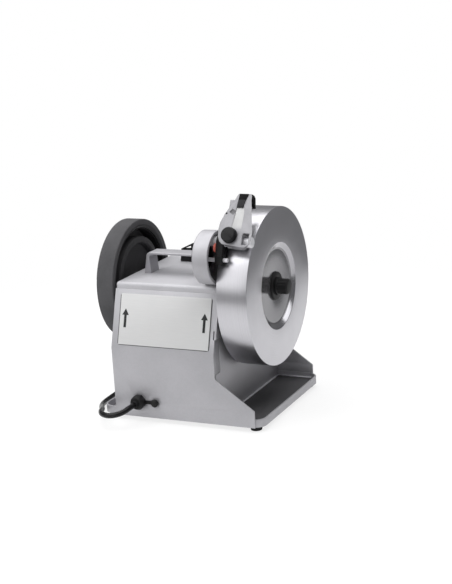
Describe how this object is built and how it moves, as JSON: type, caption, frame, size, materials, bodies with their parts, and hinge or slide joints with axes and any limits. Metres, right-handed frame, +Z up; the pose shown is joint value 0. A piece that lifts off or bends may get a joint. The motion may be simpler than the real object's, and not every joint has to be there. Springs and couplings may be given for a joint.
{
  "type": "electric knife sharpener",
  "caption": "Bench electric knife sharpener: a sheet metal motor housing with a steel grinding wheel, a honing wheel, a dial-set swivelling blade clamp, carrying handle and mains cord.",
  "frame": {"origin": "on the bench under the middle of the machine's box, without its cord", "axes": "+X along the spindle towards the grinding wheel, +Y to the rear panel, +Z up"},
  "size_m": [0.2657, 0.3694, 0.2877],
  "materials": {
    "silver_paint": "satin silver-grey powder coat",
    "plate_metal": "satin light plate",
    "black_rubber": "matte",
    "black_plastic": "fine grain",
    "rocker_plastic": "gloss",
    "bush_plastic": "smooth natural nylon",
    "screw_steel": "zinc plated",
    "bright_steel": "ground",
    "chromed_steel": "polished",
    "wheel_steel": "turned, fine circular grain",
    "black_metal": "black coated",
    "grey_casting": "dark grey moulded",
    "honing_composite": "dull dark grey composite",
    "motor_steel": "plain",
    "cast_aluminium": "as cast",
    "copper_wire": "enamelled",
    "satin_aluminium": "satin",
    "red_plastic": "smooth",
    "cord_rubber": "smooth black sheath",
    "plug_metal": "nickel plated"
  },
  "bodies": {
    "housing": {"base_tray": "silver_paint", "front_panel": "silver_paint", "rear_panel": "silver_paint", "left_side_wall": "silver_paint", "right_side_wall": "silver_paint", "top_cover": "silver_paint", "tray_mat": "black_rubber", "rubber_feet": "black_rubber", "housing_screws": "screw_steel", "name_plate": "plate_metal", "carry_handle": "silver_paint", "cord_gland": "black_plastic", "strain_relief": "black_rubber", "gland_strap": "black_plastic", "switch_housing": "black_plastic", "spindle_bushes": "bush_plastic", "motor_bracket": "black_metal", "motor_pivot_pin": "bright_steel", "capacitor": "cast_aluminium", "guide_bracket": "black_metal", "link_rod": "chromed_steel", "dial_keeper": "screw_steel", "cord_lead": "cord_rubber", "cord_coil": "cord_rubber", "plug_body": "cord_rubber", "plug_pins": "plug_metal"},
    "spindle": {"drive_shaft": "bright_steel", "shaft_collars": "bright_steel", "grinding_wheel": "wheel_steel", "inner_flange": "bright_steel", "flange_washer": "black_metal", "drive_wheel": "grey_casting", "friction_ring": "black_rubber", "honing_wheel": "honing_composite", "hub_nut": "screw_steel"},
    "wheel_nut": {"wheel_knob": "black_plastic"},
    "motor": {"motor_casing": "motor_steel", "motor_end_caps": "cast_aluminium", "motor_bearings": "bright_steel", "motor_stator": "motor_steel", "motor_windings": "copper_wire"},
    "rotor": {"motor_rotor": "motor_steel", "drive_roller": "bright_steel"},
    "rocker": {"switch_rocker": "rocker_plastic"},
    "arm": {"guide_arm": "black_plastic", "guide_rod": "chromed_steel", "arm_pointer": "red_plastic", "rod_end_cap": "chromed_steel"},
    "dial": {"dial_drum": "satin_aluminium", "dial_scale_ring": "black_plastic"},
    "carriage": {"guide_carriage": "bush_plastic"},
    "clamp": {"front_jaw": "satin_aluminium", "front_pad": "black_rubber", "front_grip": "black_rubber", "jaw_pin": "bright_steel", "jaw_spring": "bright_steel"},
    "clamp_rear": {"rear_jaw": "satin_aluminium", "rear_grip": "black_rubber", "rear_pad": "black_rubber"},
    "lock": {"lock_knob": "black_plastic"}
  },
  "joints": [
    {"name": "spindle_spin", "type": "hinge", "parent": "housing", "child": "spindle", "pos_m": [0.06225, 0.00642, 0.1603], "axis": [1, 0, 0], "continuous": true},
    {"name": "wheel_nut_turn", "type": "hinge", "parent": "spindle", "child": "wheel_nut", "pos_m": [0.10825, 0.00642, 0.1603], "axis": [1, 0, 0], "range_deg": [0, 360]},
    {"name": "motor_swing", "type": "hinge", "parent": "housing", "child": "motor", "pos_m": [-0.03125, -0.05143, 0.10602], "axis": [1, 0, 0], "range_deg": [0, 0.6]},
    {"name": "rotor_spin", "type": "hinge", "parent": "motor", "child": "rotor", "pos_m": [-0.06925, 0.02647, 0.10322], "axis": [1, 0, 0], "continuous": true},
    {"name": "power_switch", "type": "hinge", "parent": "housing", "child": "rocker", "pos_m": [-0.04525, 0.10127, 0.068], "axis": [-1, 0, 0], "range_deg": [0, 15]},
    {"name": "arm_swing", "type": "hinge", "parent": "housing", "child": "arm", "pos_m": [0.06275, -0.08542, 0.2135], "axis": [1, 0, 0], "range_deg": [-3, 3]},
    {"name": "dial_turn", "type": "hinge", "parent": "housing", "child": "dial", "pos_m": [0.03875, -0.07342, 0.2136], "axis": [1, 0, 0], "range_deg": [-60, 60]},
    {"name": "guide_slide", "type": "slide", "parent": "arm", "child": "carriage", "axis": [1, 0, 0], "range_m": [-0.002, 0.005]},
    {"name": "guide_swivel", "type": "hinge", "parent": "carriage", "child": "clamp", "pos_m": [0.07625, -0.07693, 0.2343], "axis": [1, 0, 0], "range_deg": [-4, 34]},
    {"name": "rear_jaw_open", "type": "hinge", "parent": "clamp", "child": "clamp_rear", "pos_m": [0.08125, -0.04422, 0.26876], "axis": [1, 0, 0], "range_deg": [0, 12], "stiffness_Nm_per_rad": 0.5, "springref_deg": -11.46},
    {"name": "lock_turn", "type": "hinge", "parent": "clamp", "child": "lock", "pos_m": [0.08125, -0.0883, 0.24575], "axis": [0, -0.8746, 0.4848], "range_deg": [0, 180]}
  ],
  "couplings": [
    {"joint": "rotor_spin", "follows": "spindle_spin", "ratio": 14.444},
    {"joint": "dial_turn", "follows": "arm_swing", "ratio": 20}
  ]
}
